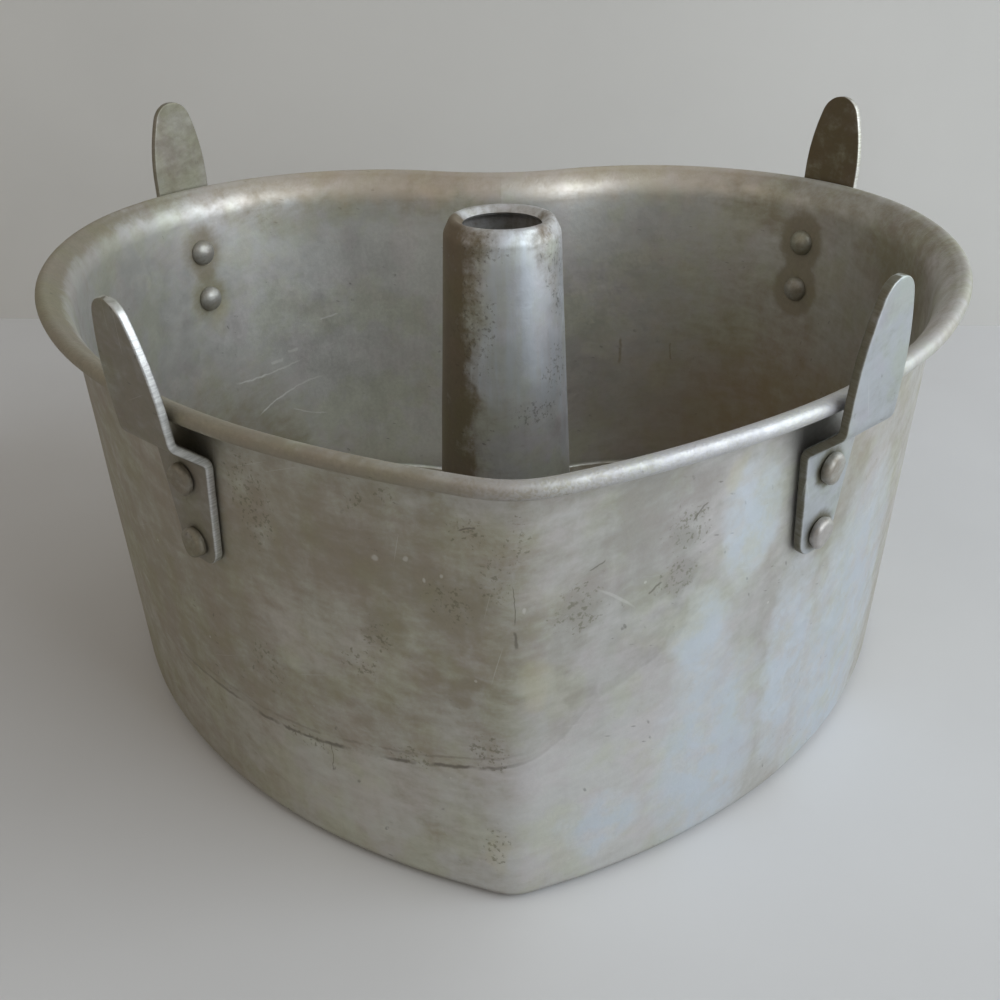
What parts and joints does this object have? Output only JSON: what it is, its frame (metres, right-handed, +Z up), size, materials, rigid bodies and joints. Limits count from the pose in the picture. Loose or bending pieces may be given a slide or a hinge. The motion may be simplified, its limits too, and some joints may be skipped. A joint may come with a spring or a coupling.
{
  "type": "heart-shaped tube cake pan",
  "caption": "Heart-shaped aluminium tube cake pan with a rolled rim, riveted cooling legs and a lift-out bottom with a centre tube.",
  "frame": {"origin": "on the table below the middle of the pan's width and depth", "axes": "+Z up, the heart's tip points to -Y and its cleft to +Y, +X is the pan's right side seen from the tip"},
  "size_m": [0.2538, 0.2394, 0.1402],
  "materials": {
    "wall_aluminium": "dull, tarnished",
    "bottom_aluminium": "dull, tarnished",
    "tube_aluminium": "dull, tarnished",
    "leg_aluminium": "dull, filed edges",
    "rivet_aluminium": "dull"
  },
  "bodies": {
    "pan": {"pan_wall": "wall_aluminium", "leg_front_left": "leg_aluminium", "leg_front_right": "leg_aluminium", "leg_rear_left": "leg_aluminium", "leg_rear_right": "leg_aluminium", "rivet_front_left_lower": "rivet_aluminium", "rivet_front_left_upper": "rivet_aluminium", "rivet_front_right_lower": "rivet_aluminium", "rivet_front_right_upper": "rivet_aluminium", "rivet_rear_left_lower": "rivet_aluminium", "rivet_rear_left_upper": "rivet_aluminium", "rivet_rear_right_lower": "rivet_aluminium", "rivet_rear_right_upper": "rivet_aluminium"},
    "insert": {"bottom_plate": "bottom_aluminium", "centre_tube": "tube_aluminium"}
  },
  "joints": [
    {"name": "insert_lift", "type": "slide", "parent": "pan", "child": "insert", "axis": [0, 0, 1], "range_m": [0, 0.16]}
  ]
}
